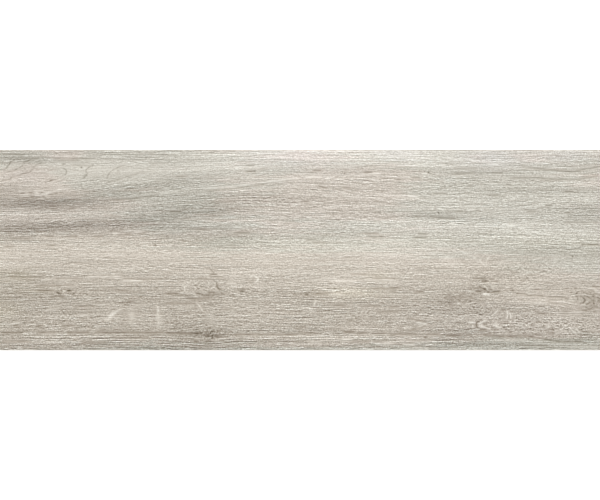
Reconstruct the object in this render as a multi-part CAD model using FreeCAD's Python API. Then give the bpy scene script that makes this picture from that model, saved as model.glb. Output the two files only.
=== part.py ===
"""Wood look porcelain plank tile, one pressed and fired piece, 900 x 300 x 10 mm.

Part frame: origin at the centre of the bedding plane (the crests of the back ribs),
+X along the plank, +Y across it, +Z up through the wear face. Millimetres.

The wear face is a flat plane here, at the level of the highest grain. The grain
relief below it, at most 0.5 mm deep, is fine surface texture, not construction.
The four edges are ground square, with a small 45 degree bevel round the wear face
and a smaller break round the back. The back is a lattice of low square keying ribs
inside a plain land, for the bedding adhesive to grip.
"""

import FreeCAD
import Part
import os

# Driving dimensions, mm
LENGTH = 900.0  # along X
WIDTH = 300.0  # along Y
THICKNESS = 10.0  # bedding plane to wear face, ribs included
BEVEL = 0.6  # leg of the 45 degree bevel round the wear face
BACK_BREAK = 0.4  # leg of the 45 degree break round the back

# Keying ribs on the back
POCKETS_X = 32  # pockets along the plank, even so that a rib lies on X = 0
POCKETS_Y = 10  # pockets across it, even so that a rib lies on Y = 0
RIB_CREST = 3.0  # width of a rib at the bedding plane
RIB_HEIGHT = 0.8  # depth of the pockets between the ribs
RIB_FLANK = 0.8  # how far a rib's flank leans over its height
POCKET_CORNER = 2.5  # leg of the 45 degree cut across a pocket's corner

# One pitch both ways leaves the same plain land along all four edges
RIB_PITCH = (LENGTH - WIDTH) / (POCKETS_X - POCKETS_Y)
LAND = (WIDTH + RIB_CREST - POCKETS_Y * RIB_PITCH) / 2.0

NODE = "plank_tile"


def rectangle(half_x, half_y, z):
    """Corners of a rectangle about the Z axis, anticlockwise from above."""
    return [
        FreeCAD.Vector(-half_x, -half_y, z),
        FreeCAD.Vector(half_x, -half_y, z),
        FreeCAD.Vector(half_x, half_y, z),
        FreeCAD.Vector(-half_x, half_y, z),
    ]


def octagon(cx, cy, half, corner, z):
    """Corners of a square about (cx, cy) with its corners cut, anticlockwise."""
    side = half - corner
    steps = [
        (-side, -half),
        (side, -half),
        (half, -side),
        (half, side),
        (side, half),
        (-side, half),
        (-half, side),
        (-half, -side),
    ]
    return [FreeCAD.Vector(cx + dx, cy + dy, z) for dx, dy in steps]


def stacked(rings):
    """A closed solid through rings of points, lowest first, with flat faces."""

    def face(points):
        return Part.Face(Part.makePolygon(points + [points[0]]))

    faces = [face(rings[0][::-1]), face(rings[-1])]
    for low, high in zip(rings[:-1], rings[1:]):
        for i in range(len(low)):
            j = (i + 1) % len(low)
            faces.append(face([low[i], low[j], high[j], high[i]]))
    solid = Part.makeSolid(Part.makeShell(faces))
    if solid.Volume < 0:
        solid.reverse()
    return solid


def body():
    """The slab: square edges, bevelled above and broken below."""
    hx, hy = LENGTH / 2.0, WIDTH / 2.0
    return stacked(
        [
            rectangle(hx - BACK_BREAK, hy - BACK_BREAK, 0.0),
            rectangle(hx, hy, BACK_BREAK),
            rectangle(hx, hy, THICKNESS - BEVEL),
            rectangle(hx - BEVEL, hy - BEVEL, THICKNESS),
        ]
    )


def pocket(cx, cy):
    """The space between four ribs, from 1 mm below the bedding plane to its floor."""
    below = 1.0
    mouth = (RIB_PITCH - RIB_CREST) / 2.0
    lean = RIB_FLANK / RIB_HEIGHT
    return stacked(
        [
            octagon(cx, cy, mouth + below * lean, POCKET_CORNER, -below),
            octagon(cx, cy, mouth - RIB_FLANK, POCKET_CORNER, RIB_HEIGHT),
        ]
    )


pockets = []
for ix in range(POCKETS_X):
    for iy in range(POCKETS_Y):
        pockets.append(
            pocket(
                (ix + 0.5 - POCKETS_X / 2.0) * RIB_PITCH,
                (iy + 0.5 - POCKETS_Y / 2.0) * RIB_PITCH,
            )
        )

tile = body().cut(Part.makeCompound(pockets))
solids = tile.Solids
if len(solids) != 1:
    raise RuntimeError("the tile came out as %d solids" % len(solids))
tile = solids[0]
if not tile.isValid():
    raise RuntimeError("the tile isn't a valid solid")

print("volume %.1f cm3, land %.2f mm, pitch %.2f mm" % (tile.Volume / 1000.0, LAND, RIB_PITCH))
print("faces %d, box %s" % (len(tile.Faces), tile.BoundBox))

os.makedirs("parts", exist_ok=True)
tile.exportStep("parts/" + NODE + ".step")
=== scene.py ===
import math

import bpy
import numpy as np
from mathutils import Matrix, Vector
from mathutils.geometry import delaunay_2d_cdt


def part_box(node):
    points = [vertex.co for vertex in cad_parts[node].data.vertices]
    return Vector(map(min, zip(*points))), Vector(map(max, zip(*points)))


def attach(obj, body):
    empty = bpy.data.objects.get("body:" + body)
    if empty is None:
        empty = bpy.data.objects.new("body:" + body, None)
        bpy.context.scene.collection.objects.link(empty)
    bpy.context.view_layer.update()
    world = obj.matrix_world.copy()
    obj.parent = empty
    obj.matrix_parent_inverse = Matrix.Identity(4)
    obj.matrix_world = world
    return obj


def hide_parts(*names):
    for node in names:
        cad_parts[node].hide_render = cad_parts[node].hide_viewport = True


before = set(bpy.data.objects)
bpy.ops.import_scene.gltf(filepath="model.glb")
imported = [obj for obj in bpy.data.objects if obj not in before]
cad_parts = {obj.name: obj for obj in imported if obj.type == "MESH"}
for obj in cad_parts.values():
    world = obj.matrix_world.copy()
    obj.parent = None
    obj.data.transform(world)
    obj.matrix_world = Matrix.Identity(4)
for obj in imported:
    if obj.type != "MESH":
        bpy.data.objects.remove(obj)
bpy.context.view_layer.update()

# ---------------------------------------------------------------------------
# The plank, millimetres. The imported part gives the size; the rest is detail.
# ---------------------------------------------------------------------------
lo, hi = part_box("plank_tile")
LENGTH = (hi[0] - lo[0]) * 1000.0
WIDTH = (hi[1] - lo[1]) * 1000.0
THICK = (hi[2] - lo[2]) * 1000.0
BEVEL = 0.6
BACK_BREAK = 0.4
POCKETS_X, POCKETS_Y = 32, 10
RIB_CREST, RIB_HEIGHT, RIB_FLANK = 3.0, 0.8, 0.8
RIB_PITCH = (LENGTH - WIDTH) / (POCKETS_X - POCKETS_Y)

# The print is laid out in the photograph's frame: the face fills columns 0 to 600
# and rows 150 to 350, and a hair more, so that the bevel falls on the border. One
# column or row is about 1.5 mm.
FILL = 1.003
MM = LENGTH / 600.0 / FILL


def col(x):
    return x / MM + 300.0


def row(y):
    return 250.0 - y / MM


# Tone across the plank: (row, level against the mean)
PROFILE = [(150, 15), (205, 0), (250, 12), (300, -8), (350, -12)]

# Soft patches of tone: column, row, half length, half height, rise per run, level
TONE = [
    (15, 155, 22, 6, 0, -22), (30, 160, 35, 7, 0, -10), (140, 156, 45, 7, 0, -8),
    (350, 151, 90, 7, 0, 14), (410, 157, 80, 5, 0, 12), (265, 158, 40, 8, 0, 4), (225, 167, 30, 6, 0, 6), (90, 168, 45, 5, 0, 9), (485, 165, 35, 9, 0, -6),
    (45, 202, 45, 4.4, 0, -34), (25, 208, 40, 4, 0, -8), (10, 189, 20, 7, 0, -8), (140, 199, 60, 7, 0, -8), (170, 206, 30, 5, 0, 5),
    (15, 216, 35, 3, 0, 7), (15, 227, 40, 4, 0, -17), (85, 224.5, 40, 4, -0.05, -23), (165, 217, 40, 6, -0.15, -17), (205, 209, 40, 5, -0.05, -5),
    (40, 232, 60, 5, 0, -15), (190, 235, 50, 7, 0, -15), (12, 239, 30, 5, 0, -11), (230, 240, 25, 6, 0, -5), (235, 226, 22, 5, 0, -6),
    (100, 191, 40, 4, 0, -5), (10, 191, 20, 4, 0, -10), (160, 184, 40, 4, -0.12, -13), (225, 207, 35, 6, 0, -4), (100, 215, 30, 3, 0, 5),
    (330, 178, 50, 4, 0, 9), (450, 200, 90, 7, 0, 10), (330, 203, 60, 8, 0, 3), (570, 200, 50, 7, 0, 5), (450, 212, 120, 6, 0, 4), (545, 203, 20, 5, 0, -5),
    (447, 216, 14, 2.2, 0, -12), (395, 226, 60, 5, 0, 13), (530, 229, 50, 6, 0, 15), (585, 214, 20, 6, 0, -12), (475, 182, 50, 8, 0, -4),
    (365, 248, 50, 10, 0, 6), (270, 254, 35, 8, 0, 9), (570, 253, 60, 9, 0, -10), (310, 243, 16, 5, 0, -4),
    (15, 277, 30, 6, 0, -8), (60, 283, 75, 6, 0, -5), (255, 272, 20, 4, 0, 7), (360, 274, 40, 5, 0, 2), (345, 281, 20, 3.5, 0, 10), (465, 275, 15, 3, 0, 5),
    (30, 288, 30, 4, 0, -9), (8, 292, 14, 14, 0, -5), (150, 289, 60, 5, 0, -7), (352, 292, 24, 4, 0, 16), (455, 298, 22, 7, 0, -12), (310, 299, 12, 5, 0, -7),
    (490, 287, 14, 4, 0, -6), (552, 301, 28, 5, 0.1, 10), (590, 303, 14, 7, 0, -5), (110, 321, 50, 5, 0, -4), (265, 314, 28, 6, 0, 9),
    (200, 334, 20, 6, 0, -12), (165, 341, 60, 7, 0, -6), (500, 336.5, 90, 3, 0, -6), (340, 344, 70, 5, 0, 7), (372, 334, 25, 7, 0, 6),
    (45, 338, 24, 4, 0, 9), (460, 338, 18, 6, 0, -7), (200, 348.5, 130, 3, 0, -9), (445, 329, 20, 5, 0, -4), (530, 316, 20, 4, 0, -4),
    (190, 347.5, 26, 4, 0, -12), (440, 331, 20, 4, 0, 6), (505, 338.5, 55, 3.5, 0, 6), (195, 322, 30, 6, 0, -6), (32, 306, 22, 4, 0, -7), (218, 338, 15, 4, 0, -5), (85, 347, 25, 3, 0, -5),
    (195, 216, 25, 5, 0, -6), (420, 180, 18, 9, 0, 8), (490, 314, 12, 4, 0, -5), (8, 170, 12, 5, 0, 7), (250, 290, 12, 4, 0, 6), (375, 263, 15, 7, 0, 4), (132, 242, 14, 4, 0, 6),
    (350, 347, 22, 3, 0, -5), (460, 346, 12, 3, 0, -4), (45, 205.5, 40, 3, 0, -8), (40, 197, 40, 2.5, 0, 8),
]

# Small soft spots, placed as they are drawn
BLOTCHES = [
    (109, 318, 8, 1.4, 0, 5), (110, 313, 9, 4.0, -0.5, 4), (131.5, 316, 4.0, 5.5, 0, 5), (158, 318, 4.0, 8.0, 0, 3), (128, 303, 6, 2.5, -0.3, -5),
    (234, 279, 4.4, 2.6, 0, 11), (210, 295, 12, 2.0, 0, -11), (218, 303, 4, 7, 0, -5), (208, 305, 3.4, 3, 0, -8), (209, 334.5, 12, 3.6, 0, -9), (200, 333.6, 12, 1.6, 0, -8),
    (242, 291, 4.5, 2.4, 0, -6), (66, 294, 8, 2.5, 0, -6), (58, 297.5, 8, 1.2, 0.1, -8), (341, 281, 14, 1.4, 0, 7), (351, 292.5, 16, 2.0, 0, 6),
    (450, 261, 5, 4.5, 0, 6), (480, 282, 4.5, 5, 0.4, -8), (485, 291, 8, 1.8, 0.12, -14), (462.5, 294, 5, 2.0, 0, -6), (449, 301, 5, 5, 0, -8),
    (455, 335.5, 8, 1.3, 0, -14), (440, 339, 8, 1.4, 0, -10), (470, 331, 8, 2.5, 0, -6),
    (415, 325, 12, 3, 0, -6), (496, 323.5, 4.5, 2.2, 0, 5), (488, 311, 6, 2, 0, 5), (519, 312.5, 5, 1.2, 0, -8),
    (587, 309.2, 6, 1.6, 0, -5), (591, 306, 6, 2.6, 0, -8), (571, 296.5, 5, 1.6, 0, 8),
    (585, 336, 8, 2.5, 0, -8), (548, 300, 12, 1.4, 0.05, 5), (537, 262, 5, 3.5, 0, -7), (560, 263, 12, 3, 0, 4),
    (447, 217.6, 12, 1.2, 0.04, -6), (590, 210, 14, 3, 0, -6), (420, 216.5, 12, 1.0, 0, -8), (566, 222.5, 24, 1.2, 0, -6), (492, 195.5, 9, 1.5, 0, -7),
    (530, 178, 20, 1.6, 0, -6), (566, 171, 14, 1.6, 0, -7), (485, 173, 26, 1.6, 0, -6), (300, 338.5, 30, 1.0, 0, 5), (345, 341, 26, 1.0, 0, -6),
]

# Small flecks, placed as they are drawn, also leaning: as the patches above
FLECKS = [
    (111, 315.8, 2.8, 1.8, -0.7, 16), (118, 310.5, 4.2, 1.2, -0.6, 14), (131.5, 315.5, 2.4, 3.6, 0, 18), (132.5, 309.5, 2.4, 0.9, 0, 10), (131, 322.5, 3.0, 1.0, 0, 9),
    (157.6, 311, 1.0, 4.5, 0, 18), (158.8, 317.6, 1.5, 2.6, 0, 26), (158.6, 324.4, 2.2, 1.6, 0, 22), (156, 305.5, 2.0, 0.7, 0, 12), (158, 328.5, 0.9, 3.0, 0, 8),
    (129.4, 301.7, 4.2, 1.3, -0.3, -21), (125, 305, 2.4, 1.0, -0.5, -9),
    (18.5, 163.4, 4.4, 1.3, -0.12, 9), (8.5, 172.8, 4.5, 1.6, -0.3, 7), (423.5, 324.3, 3.6, 1.0, 0, 8), (102, 330, 2.6, 1.0, 0, -14), (242.9, 289.8, 1.8, 1.5, 0, -24), (240, 290.6, 2.0, 1.0, 0, -12), (281, 289.8, 3.5, 1.1, 0, -9), (231, 245.6, 3, 1.0, 0, -12),
    (58.5, 293.2, 2.5, 1.0, 0.5, -16), (307, 294.3, 1.8, 1.0, 0, -14), (483.4, 278.9, 2.8, 1.2, 0.1, -36), (462.5, 294, 2.6, 1.0, 0, -14), (425.5, 337.3, 2.0, 1.0, 0, -20),
    (452, 303, 1.8, 3, 0, -10), (560.5, 331, 3.8, 1.0, 0, 20), (593.8, 330.5, 3.2, 1.0, 0, 17),
    (253, 279, 2.6, 2.0, 0, -8), (69.6, 292.6, 2, 1.0, 0, 4), (394, 282.3, 4.5, 1.0, 0, 14), (495.6, 323.4, 2.4, 1.5, -0.3, 20), (500.6, 324, 1.2, 1.4, 0, -10), (481.6, 325.6, 1.4, 0.7, 0, 20), (491.6, 322.4, 1.2, 0.6, 0, -16), (207.5, 277.3, 0.9, 0.8, 0, 24), (211.4, 286.5, 0.8, 0.7, 0, -14), (213.6, 286.4, 1.8, 0.6, -0.6, 12), (222.6, 294, 1.2, 1.2, 0, -14), (208.5, 330.5, 0.7, 0.9, 0, 16), (213.7, 327.4, 1.0, 0.6, 0, 16), (211.4, 321.4, 1.4, 0.8, 0, 14), (219.4, 323.5, 1.2, 0.6, 0, 16), (203.8, 340.5, 1.3, 0.6, 0, 14), (228.8, 341.4, 1.0, 0.6, 0, 14), (186, 286, 2.0, 3.6, 0, 6),
    (210.5, 304, 1.6, 1.8, 0, -10), (226, 309, 3.2, 1.3, 0, -10), (82, 319, 2.4, 1.2, 0, -12), (448, 296.5, 2.4, 1.4, 0, -12), (545.5, 313.4, 3.0, 0.9, 0, -10), (550.5, 334, 2.6, 1.8, 0, -12),
    (572, 256, 2.0, 0.8, 0, -8), (315.4, 303, 1.2, 3.0, 0, 8), (447, 258, 3.0, 1.6, 0, 9), (452, 264, 3.4, 1.3, 0, 8),
]

# Where the print turns cool and greenish, with the warm places negative
COOL = [
    (240, 156, 330, 11, 0, 0.9), (20, 165, 40, 9, 0, 0.5), (95, 175, 33, 15, 0, 1.0), (178, 196, 42, 17, 0, 1.0), (235, 224, 30, 8, 0, 0.5), (222, 195, 13, 9, 0, -0.5),
    (235, 188, 40, 10, 0, 0.35), (277, 190, 16, 14, 0, 0.4), (424, 190, 24, 15, 0, 0.3), (300, 242, 120, 5, 0, 0.6), (228, 242, 20, 4, 0, 0.4), (505, 205, 72, 32, 0, 1.2), (575, 238, 55, 22, 0, 0.6), (350, 225, 50, 7, 0, 0.6), (350, 249, 110, 5, 0, 0.42),
    (592, 264, 24, 8, 0, 0.55), (4, 315, 14, 26, 0, -0.6), (165, 222, 20, 8, 0, 0.4), (545, 346, 75, 6, 0, 1.1), (300, 351, 320, 4, 0, 0.7), (548, 332, 12, 5, 0, -0.3),
    (335, 193, 42, 12, 0, -1.0), (375, 175, 20, 7, 0, -0.5), (72, 156, 16, 5, 0, -1.1), (30, 177, 26, 12, 0, -0.9), (300, 155, 30, 5, 0, -0.9),
    (480, 157, 10, 4, 0, -0.7), (528, 157, 12, 4, 0, -0.7), (155, 187, 16, 3, 0, -0.6),
]

# Creamy places, with the lilac ones negative
CREAM = [
    (295, 156, 35, 8, 0, -3.5), (400, 153, 20, 6, 0, -3), (495, 157, 25, 8, 0, -4), (565, 156, 20, 5, 0, -3), (60, 156, 15, 5, 0, -1), (30, 176, 14, 6, 0, -1.5),
    (520, 325, 80, 20, 0, -1.6), (300, 350, 300, 6, 0, -1.2), (350, 293, 24, 4, 0, 3), (15, 275, 15, 5, 0, 3), (30, 290, 20, 4, 0, 1.5), (5, 310, 10, 8, 0, 2.5), (375, 275, 10, 4, 0, 2),
    (450, 252, 60, 8, 0, -1), (575, 266, 30, 12, 0, -1.5),
]

# Where the grain is short and rough, where its lines run long, and where it is calm
ROUGH = [
    (535, 273, 32, 9, 0, 0.8), (576, 327, 22, 9, 0, 0.9), (478, 310, 22, 8, 0, 0.5), (365, 318, 20, 9, 0, 0.5), (180, 320, 20, 7, 0, 0.45),
    (100, 300, 40, 8, 0, 0.3), (222, 300, 26, 10, 0, 0.45), (330, 245, 25, 8, 0, 0.3), (515, 326, 26, 8, 0, 0.5), (200, 284, 14, 7, 0, 0.5), (62, 320, 24, 6, 0, 0.5),
    (470, 268, 18, 8, 0, 0.4), (455, 300, 16, 6, 0, 0.4), (420, 325, 20, 5, 0, 0.3), (212, 330, 10, 4, 0, 0.5),
]
LONG = [
    (300, 155, 280, 6, 0, 0.55), (260, 158, 90, 8, 0, 0.4), (480, 172, 120, 8, 0, 0.35), (60, 282, 70, 7, 0, 0.5), (80, 335, 90, 10, 0, 0.6),
    (230, 344, 120, 6, 0, 0.4), (450, 346, 120, 4, 0, 0.3), (340, 190, 60, 10, 0, 0.15), (60, 235, 60, 8, 0, 0.2), (520, 236, 60, 8, 0, 0.2),
    (540, 345, 70, 4, 0, 0.5), (330, 341, 60, 4, 0, 0.4), (540, 296, 30, 6, 0, 0.3),
]
CALM = [
    (50, 170, 60, 9, 0, 0.42), (125, 171, 55, 8, 0, 0.3), (48, 192, 35, 5, 0.02, 0.3), (300, 258, 330, 8, 0, 0.15), (587, 300, 13, 8, 0, 0.55), (560, 276, 30, 6, 0, 0.25),
    (545, 300, 25, 5, 0.12, 0.25), (122, 315, 14, 6, 0, 0.3), (131, 315, 8, 5, 0, 0.25), (158, 318, 3, 9, 0, 0.35), (225, 205, 60, 10, 0, 0.12),
]

# How the grain bends: it runs uphill in some places, and parts round the knots
SHEAR = [(130, 188, 110, 14, 0.09), (60, 220, 90, 9, 0.03), (120, 236, 80, 6, 0.04), (560, 300, 40, 10, -0.05)]
LENS = [(584, 300, 15, 9, 0.65), (210, 334, 14, 8, 0.5), (345, 291, 30, 8, 0.3), (455, 298, 14, 10, 0.3), (245, 292, 10, 6, 0.3), (50, 170, 20, 8, 0.2), (64, 293, 12, 5, 0.35)]

# Drawn lines: level (dark negative), half width, points
MARKS = [
    # cathedral lines, upper left
    (-17, 0.6, [(2.2, 171), (5, 169), (8.3, 165.8), (10.8, 162.6), (12.8, 161), (15, 159.5)]),
    (-20, 0.6, [(5, 172.5), (9, 171.6), (13.5, 171), (17.5, 169.3), (20.7, 167.1), (22.3, 164.6), (24.9, 162.3), (29.3, 160.4), (32.5, 159.1), (41, 158.6)]),
    (-22, 0.62, [(0, 180.8), (5.1, 179.9), (9, 179.5), (12.8, 177.3), (18.5, 175.4), (21.7, 173.8), (27.4, 173), (31, 171.3), (34.4, 167.7), (36.4, 165.5), (39.5, 163.6), (43.4, 162.3)]),
    (-19, 0.56, [(60.3, 167.4), (63.8, 168.7), (66.3, 170.3), (66.3, 172.5), (66, 174.4), (62.8, 175.1)]),
    (-20, 0.56, [(93.1, 165.8), (89.3, 167.4), (85.8, 171.3), (87, 174.4), (84.2, 177.6), (81, 179.2)]),
    (-17, 0.56, [(105.5, 180.5), (106.5, 178), (108.5, 174), (111, 171.5), (118, 167.4), (127, 165.2)]),
    (-15, 0.56, [(104, 184), (112, 181), (119, 179), (128, 176), (136, 174.5), (145, 170)]),
    (-17, 0.52, [(44, 184), (50, 181), (58, 179)]), (-16, 0.52, [(150, 166.3), (156, 163.5), (165, 163.5)]),
    (-28, 0.52, [(245, 171.4), (254.5, 171.4)]), (-14, 0.52, [(254.5, 171.3), (262, 168.5), (270, 167)]),
    # dark and pale dashes, upper middle and right
    (-24, 0.6, [(245, 165.4), (255, 165.4)]), (-19, 0.6, [(173, 177), (187, 176.4)]), (-20, 0.6, [(168, 211.6), (183.4, 211.5)]), (-27, 0.65, [(312, 170.4), (321.6, 170.4)]), (-28, 0.65, [(362.4, 172.3), (373, 172.3)]),
    (22, 0.6, [(367, 173.4), (381, 173.3)]), (-26, 0.6, [(411, 177.3), (421.6, 177.4)]), (-26, 0.6, [(395, 179.4), (401, 179.4)]), (-24, 0.7, [(317, 186.2), (321, 186.6), (324, 187.6), (328, 187.9)]), (-18, 0.6, [(341, 187.4), (353, 188.1)]),
    (-20, 0.6, [(431, 193.4), (448.4, 193.3)]), (-17, 0.6, [(299, 201.5), (311, 201.5)]), (22, 0.6, [(420, 173.6), (428.4, 173.6)]), (19, 0.65, [(305, 177.1), (323, 177.1)]), (-22, 0.6, [(564, 191.6), (573.6, 191.6)]), (-24, 0.6, [(545, 205.4), (552.4, 205.4)]),
    (-20, 0.6, [(505.4, 184.2), (512.4, 185.4)]), (-21, 0.6, [(466.4, 186.1), (472.6, 186.1)]), (-22, 0.6, [(456, 211.3), (464, 211.3)]), (-22, 0.6, [(474.4, 210.4), (480, 210.4)]), (-20, 0.6, [(525, 211.3), (537.4, 211.3)]), (-24, 0.6, [(564.6, 212.7), (570, 212.7)]),
    (18, 0.65, [(487, 164.7), (498.4, 164.7)]), (18, 0.7, [(506, 225.8), (515, 225.8)]),
    # dark lines, top strip
    (-14, 0.6, [(0, 154.4), (14, 154.4), (25, 154.9)]), (-18, 0.65, [(52, 158.2), (75, 158.5), (95.7, 158.5)]), (-14, 0.6, [(51, 160.7), (81.6, 160.4)]),
    (-30, 0.6, [(61.2, 164.2), (66.3, 164.2)]), (-13, 0.6, [(69.5, 165.2), (88, 165.2)]), (-12, 0.6, [(87.4, 155.6), (103, 155.6)]),
    # pale slanting streaks with their dark sides, left
    (15, 0.55, [(18, 191.4), (33, 191.2)]), (16, 0.6, [(34, 190.8), (44, 191)]), (20, 0.6, [(34.6, 192.5), (38, 192.4)]), (15, 0.55, [(20, 194.4), (28, 194.5)]), (14, 0.6, [(33, 194), (40, 193.6)]),
    (17, 0.7, [(34, 195.8), (43, 195.5)]), (13, 1.1, [(40, 195.6), (45, 194.2), (50, 192.2), (56, 190.8), (63, 189.6), (72, 188.6)]), (16, 0.6, [(57, 189.5), (62.4, 189.3)]), (15, 0.55, [(20, 196.5), (30, 196.4)]),
    (15, 0.6, [(37, 198.5), (43.6, 198.4)]), (14, 0.55, [(45.6, 197.5), (50, 197.4)]), (-24, 0.6, [(19.4, 193.5), (25, 193.4)]), (-21, 0.6, [(28, 192.5), (33.4, 192.5)]), (-19, 0.6, [(29, 197.4), (35, 196.9), (42, 197.6)]), (-17, 0.6, [(41.2, 196.6), (44.6, 196.5)]), (-17, 0.6, [(48, 194.4), (53.4, 194.4)]),
    (-18, 0.6, [(53.4, 193.6), (58.6, 193.5)]), (-15, 0.55, [(59, 192.5), (62, 192.5)]), (-16, 0.6, [(22, 197.5), (29, 197.5)]), (18, 0.65, [(16.6, 208.6), (24.4, 208.7)]), (-18, 0.6, [(48, 206.5), (57.4, 206.5)]),
    (14, 0.55, [(49, 207.5), (57, 207.5)]), (-16, 0.55, [(50, 208.6), (57.6, 208.5)]), (-15, 0.55, [(67, 208.5), (80, 208.4)]), (15, 0.55, [(74.6, 209.5), (80.6, 209.4)]),
    (14, 0.8, [(205, 188.5), (225, 187.5), (240, 185.5), (262, 182.5), (300, 178)]),
    (-13, 0.8, [(205, 190.2), (228, 189.2), (245, 187), (266, 184)]),
    (14, 0.8, [(140, 196), (160, 193.5), (178, 191)]), (-15, 0.8, [(112, 201), (138, 198), (159, 193.5)]),
    (22, 0.65, [(111, 233.5), (120, 233.4)]), (20, 0.65, [(134, 232.2), (143.6, 231.9)]), (15, 0.65, [(57, 233), (68, 233.4)]), (-21, 0.65, [(115, 234.9), (124, 234.5), (133.6, 233.6)]), (-21, 0.65, [(91, 236.5), (105.6, 236.4)]), (-19, 0.65, [(65, 236.5), (80.4, 236.5)]),
    (-19, 0.65, [(43, 236.4), (55, 236.4)]), (-18, 0.65, [(9, 238.9), (33, 238.8)]), (-17, 0.6, [(2, 246.7), (17, 246.7)]), (-17, 0.6, [(44, 245.4), (56, 245.4)]), (-18, 0.6, [(136, 233.5), (148, 233.3)]), (12, 0.8, [(120, 231.4), (148, 229.6)]),
    # right of centre and upper right
    (-19, 0.8, [(430, 216), (436, 217.4), (442, 218.3), (456, 218.3)]), (-13, 0.7, [(411, 216.4), (430, 216.4)]), (-14, 0.7, [(379, 218.4), (392, 218.4)]),
    (-18, 0.65, [(452, 168.5), (478, 168.5)]), (-17, 0.7, [(453, 173.4), (475, 173.4)]), (-14, 0.7, [(490, 173), (503, 173)]),
    (-18, 0.75, [(508, 178), (530, 177.6), (543, 178.2), (556, 179.3), (575, 179.3), (585, 178.3), (600, 175.5)]),
    (-16, 0.75, [(520, 166.8), (535, 168.2), (549, 169.5), (562, 171.2), (575, 171.4), (586, 169), (600, 166.5)]),
    (-14, 0.7, [(486, 195.4), (500, 195.2)]), (18, 0.7, [(408, 196.5), (419, 196.5)]), (-15, 0.8, [(562, 222.4), (600, 222.4)]), (-27, 0.65, [(578.4, 244.7), (601, 244.5)]),
    # lower left
    (-34, 0.65, [(34.4, 290.5), (46, 290.6), (55, 290.4)]), (-26, 0.8, [(56, 292), (58, 293), (60.5, 294.3)]),
    (-44, 0.8, [(66.6, 291.4), (68, 290.6), (70, 290.7), (72.4, 291)]), (-19, 0.6, [(65.8, 293.4), (66.6, 291.6)]), (-24, 0.6, [(74.6, 291.8), (76.2, 293)]), (-24, 0.6, [(72.4, 293.6), (74.6, 293.4)]), (-14, 0.8, [(51, 297.6), (57, 296.2), (66, 298.5)]),
    (-15, 0.65, [(10, 276.8), (28, 277), (45, 276.8)]), (-18, 0.65, [(52, 278.6), (68, 278.8), (84, 278.5)]), (-15, 0.65, [(35, 285.6), (60, 285.4), (76, 285.3)]),
    (-24, 0.9, [(0, 332.5), (14, 332.7), (25, 332.4)]), (-18, 0.75, [(36, 332.7), (56, 332.5)]), (-20, 0.8, [(66, 332.6), (92, 332.4)]), (-22, 0.85, [(93, 332.5), (122, 332.6), (150, 332.7), (165, 332.4)]),
    (-20, 0.85, [(165, 332.9), (186, 333.2), (203, 333.5)]), (-20, 0.75, [(13, 325.4), (20, 324.8)]), (-22, 0.8, [(35, 327), (39, 326), (43, 325)]), (19, 0.7, [(9, 324.2), (14, 323.4), (22, 322.6)]),
    (-15, 0.7, [(60, 325.6), (75, 325.4)]), (19, 0.7, [(44.4, 311), (52, 309.3), (60, 307.6)]), (16, 0.6, [(90, 304.6), (111, 304.6)]), (-15, 0.7, [(72, 306.5), (94, 306.4)]),
    (-18, 0.65, [(0, 341.4), (32, 341.5)]), (-14, 0.65, [(78, 342.6), (109, 342.4)]), (-14, 0.65, [(110, 337.4), (150, 337.6)]), (13, 0.6, [(120, 339.6), (148, 339.7)]),
    (-20, 0.8, [(165, 293.6), (172, 293.2), (180, 293.6)]), (-18, 0.7, [(165, 303.5), (198, 303.4)]), (-29, 0.85, [(216.4, 281), (216.5, 284), (217.3, 286.4), (218, 288.4), (219.4, 289.4), (222, 289.6)]),
    (-26, 0.7, [(195.4, 293.5), (200.4, 293.5)]), (-20, 0.7, [(206.6, 292.5), (215.6, 292.5)]), (-15, 0.8, [(200, 295.4), (216.4, 295.4)]), (-19, 0.75, [(186, 298.4), (199, 298.5), (212.6, 298.5)]), (-30, 0.7, [(209.6, 274.5), (217.6, 274.5)]), (-16, 0.7, [(209.8, 268.6), (212, 271), (214.6, 273.4)]), (17, 0.65, [(210.6, 275.5), (224.4, 275.5)]), (-17, 0.65, [(208.4, 276.5), (224.6, 276.5)]), (-16, 0.65, [(195.6, 278.5), (208.4, 278.5)]), (20, 0.7, [(193.4, 296.5), (198.6, 296.5)]),
    (12, 0.8, [(206, 286), (210, 283.5)]),
    (-15, 0.6, [(120, 278.2), (133, 278.7), (164, 279.2)]), (22, 0.7, [(120, 280.5), (131, 280.8), (143.4, 281)]), (15, 0.65, [(42, 279.8), (73, 279.9)]), (14, 0.65, [(0, 280.3), (18, 279.9)]), (15, 0.65, [(131, 305.4), (150, 305.5)]), (15, 0.9, [(77.8, 315.5), (89.6, 315.5)]), (19, 0.65, [(85, 276.6), (124, 276.6)]), (15, 0.6, [(61, 286.6), (78.6, 286.6)]), (-14, 0.6, [(112, 289), (123.6, 290.5), (133, 289.7)]),
    # smudge at the lower left knot
    (-18, 0.9, [(205.6, 337.3), (208, 336.8), (210, 337.2)]), (-17, 0.8, [(206, 335.5), (209.6, 335.6)]), (-17, 0.8, [(214.6, 335.8), (219, 335.7)]), (-19, 0.65, [(214.6, 337.4), (225.4, 337.4)]),
    (-22, 0.7, [(212.9, 336.8), (212, 338), (210.8, 339.2)]), (-18, 0.8, [(194.6, 333.5), (199, 333.5)]), (-15, 0.8, [(199.6, 332.6), (203, 332.8)]),
    (20, 0.65, [(192.4, 338.5), (202.4, 338.5)]), (15, 0.65, [(205.6, 338.5), (210.6, 338.5)]), (26, 0.7, [(217.6, 338.5), (225.6, 338.5)]), (-17, 0.65, [(204.6, 341.5), (213, 341.5)]),
    (16, 0.7, [(207.4, 326.4), (210, 325.8), (213.6, 326)]), (-20, 0.7, [(208.2, 327.5), (211.6, 327.5)]), (16, 0.7, [(198.6, 329.6), (201, 329.2), (203.6, 328.4)]), (14, 0.65, [(211, 340.5), (220.6, 340.5)]),
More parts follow.
